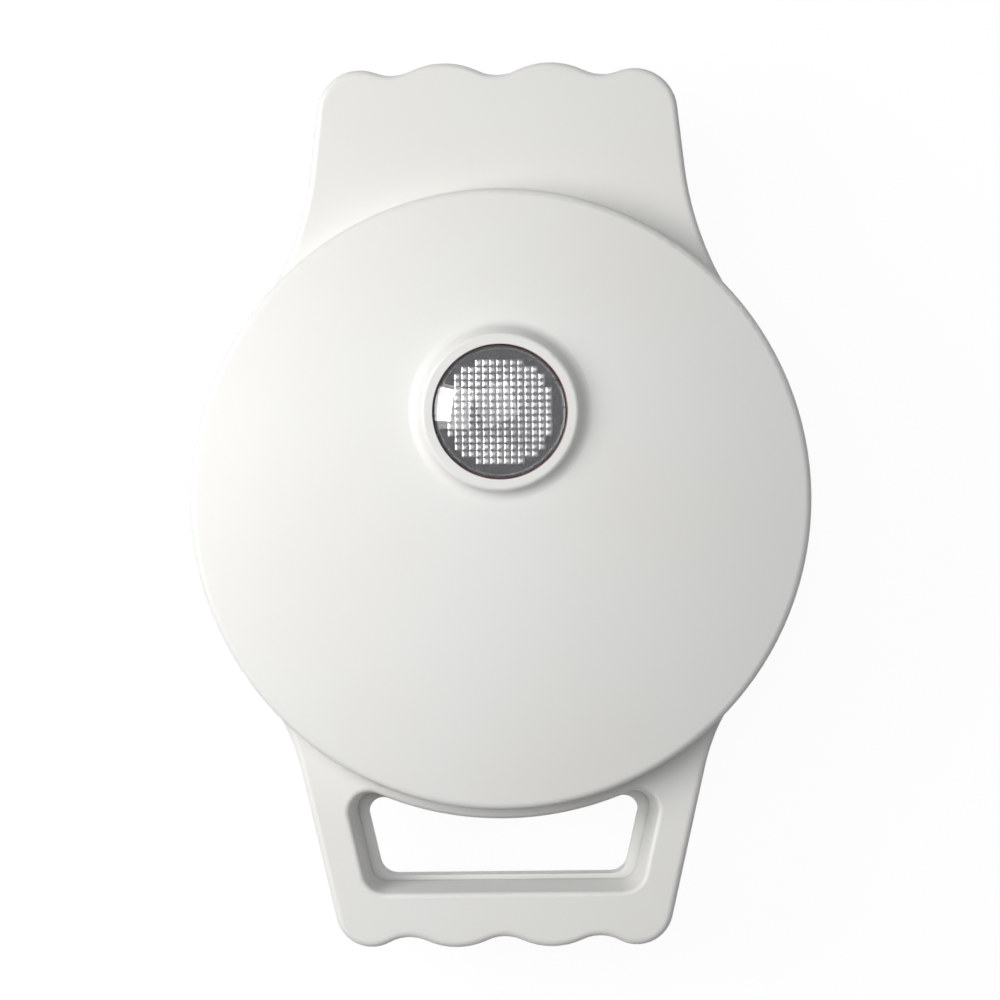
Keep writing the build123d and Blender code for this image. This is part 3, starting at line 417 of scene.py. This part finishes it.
def bead_ring(name, centre, radius, around=96, section=8):
    """A closed ring of round section that is thickest towards +X, as an object at the origin."""
    corners = []
    faces = []
    for i in range(around):
        turn = 2 * math.pi * i / around
        local = bead_thickness / 2 * (1 - bead_unevenness + bead_unevenness * math.cos(turn))
        for j in range(section):
            lean = 2 * math.pi * j / section
            reach = radius + local * math.cos(lean)
            corners.append((centre.x + reach * math.cos(turn), centre.y + reach * math.sin(turn),
                            centre.z + local * math.sin(lean)))
            here, ahead = i * section, (i + 1) % around * section
            beside = (j + 1) % section
            faces.append((here + j, ahead + j, ahead + beside, here + beside))
    mesh = bpy.data.meshes.new(name)
    mesh.from_pydata(corners, [], faces)
    for face in mesh.polygons:
        face.use_smooth = True
    piece = bpy.data.objects.new(name, mesh)
    bpy.context.scene.collection.objects.link(piece)
    return piece


lens_low, lens_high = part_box("lens")
bead_centre = (lens_low + lens_high) / 2
bead_centre.z = cover_high.z - bead_depth
bead_radius = (lens_high.x - lens_low.x) / 2 + joint_gap
bead_red = moulded("bead_red", (0.5, 0.03, 0.05), 0.3, 0.5 * MM, 0.005 * MM)
bead = bead_ring("lens_bead", bead_centre, bead_radius)
bead.data.materials.append(bead_red.material)
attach(bead, "lid")
print("bead radius in mm:", round(bead_radius / MM, 3))

# %% [markdown]
# The table is a plain pale plane, a hair under the feet so that the two never share a surface.
# A white table lit until it looks white would also flood the maker with light. So Light Path shows
# it nearly white to the camera, to mirrors and through clear pieces, and the small share of its own
# pale colour that is left keeps the shadow under the maker.

# %% Floor
floor_colour = (0.72, 0.77, 0.84)
floor_reach = 4.0
floor_level = -0.05 * MM
white_level = 1.05
white_share = 0.9

floor_corners = [(x * floor_reach, y * floor_reach, floor_level)
                 for x, y in ((-1, -1), (1, -1), (1, 1), (-1, 1))]
floor_mesh = bpy.data.meshes.new("floor")
floor_mesh.from_pydata(floor_corners, [], [(0, 1, 2, 3)])
floor = bpy.data.objects.new("floor", floor_mesh)
bpy.context.scene.collection.objects.link(floor)

pale_floor = Finish("pale_floor", Base_Color=floor_colour, Roughness=0.9)
glow = pale_floor.add("ShaderNodeEmission", {}, {"Strength": white_level})
surface = Wire(pale_floor, pale_floor.shader.outputs[0])
shown_white = pale_floor.seen_directly() * white_share
mixed = pale_floor.add("ShaderNodeMixShader", {}, {0: shown_white, 1: surface, 2: glow})
pale_floor.put(pale_floor.tree.nodes["Material Output"].inputs["Surface"], mixed)
floor_mesh.materials.append(pale_floor.material)

# %% [markdown]
# One softbox stands close by on the left, so the disc is brightest on that side and falls off to
# the right, while the left walls stay below white. A cooler one hangs above, which reaches down
# into the finger window, and the world gives the rest. The patch on the lens comes from a lower
# card of light, which only mirrors see.

# %% Softboxes
lit_point = Vector((0, 0, 0.08))
warm_light = (1.0, 0.99, 0.97)
cool_light = (0.97, 0.985, 1.0)
key_way = Vector((-0.66, 0.12, 0.74)).normalized()
card_way = Vector((-0.83, 0.16, 0.53)).normalized()


def softbox(name, place, size, power, tint, mirrored=False):
    """A square area lamp that faces the maker: it lights the maker, or is only mirrored in it."""
    data = bpy.data.lights.new(name, "AREA")
    data.shape = "SQUARE"
    data.size = size
    data.energy = power
    data.color = tint
    lamp = bpy.data.objects.new(name, data)
    lamp.location = place
    lamp.rotation_euler = (lit_point - place).to_track_quat("-Z", "Y").to_euler()
    lamp.visible_glossy = mirrored
    lamp.visible_diffuse = not mirrored
    bpy.context.scene.collection.objects.link(lamp)
    print(name, "at", tuple(round(v, 2) for v in place), "with", power, "W")


softbox("left_softbox", key_way * 0.65, 0.4, 2.82, warm_light)
softbox("left_card", card_way * 1.25, 0.6, 11.0, warm_light, mirrored=True)
softbox("ceiling_softbox", Vector((-0.1, 0.25, 1.6)), 1.0, 9.2, cool_light)

# %% [markdown]
# The world is the white room round the maker. Rays that see it directly find it as white as the
# far end of the table, so that no line parts them, while its light on the maker is only a faint
# warm fill.

# %% World
fill_level = 0.08
room_level = 0.95
fill_colour = (1.0, 0.98, 0.95)
room_colour = (1.0, 1.0, 1.0)

world = bpy.data.worlds.new("world")
bpy.context.scene.world = world
world.use_nodes = True
air = Network(world.node_tree)
background = air.tree.nodes["Background"].inputs
direct = air.seen_directly()
air.put(background["Strength"], fill_level + direct * (room_level - fill_level))
air.put(background["Color"], air.blend(direct, fill_colour, room_colour))
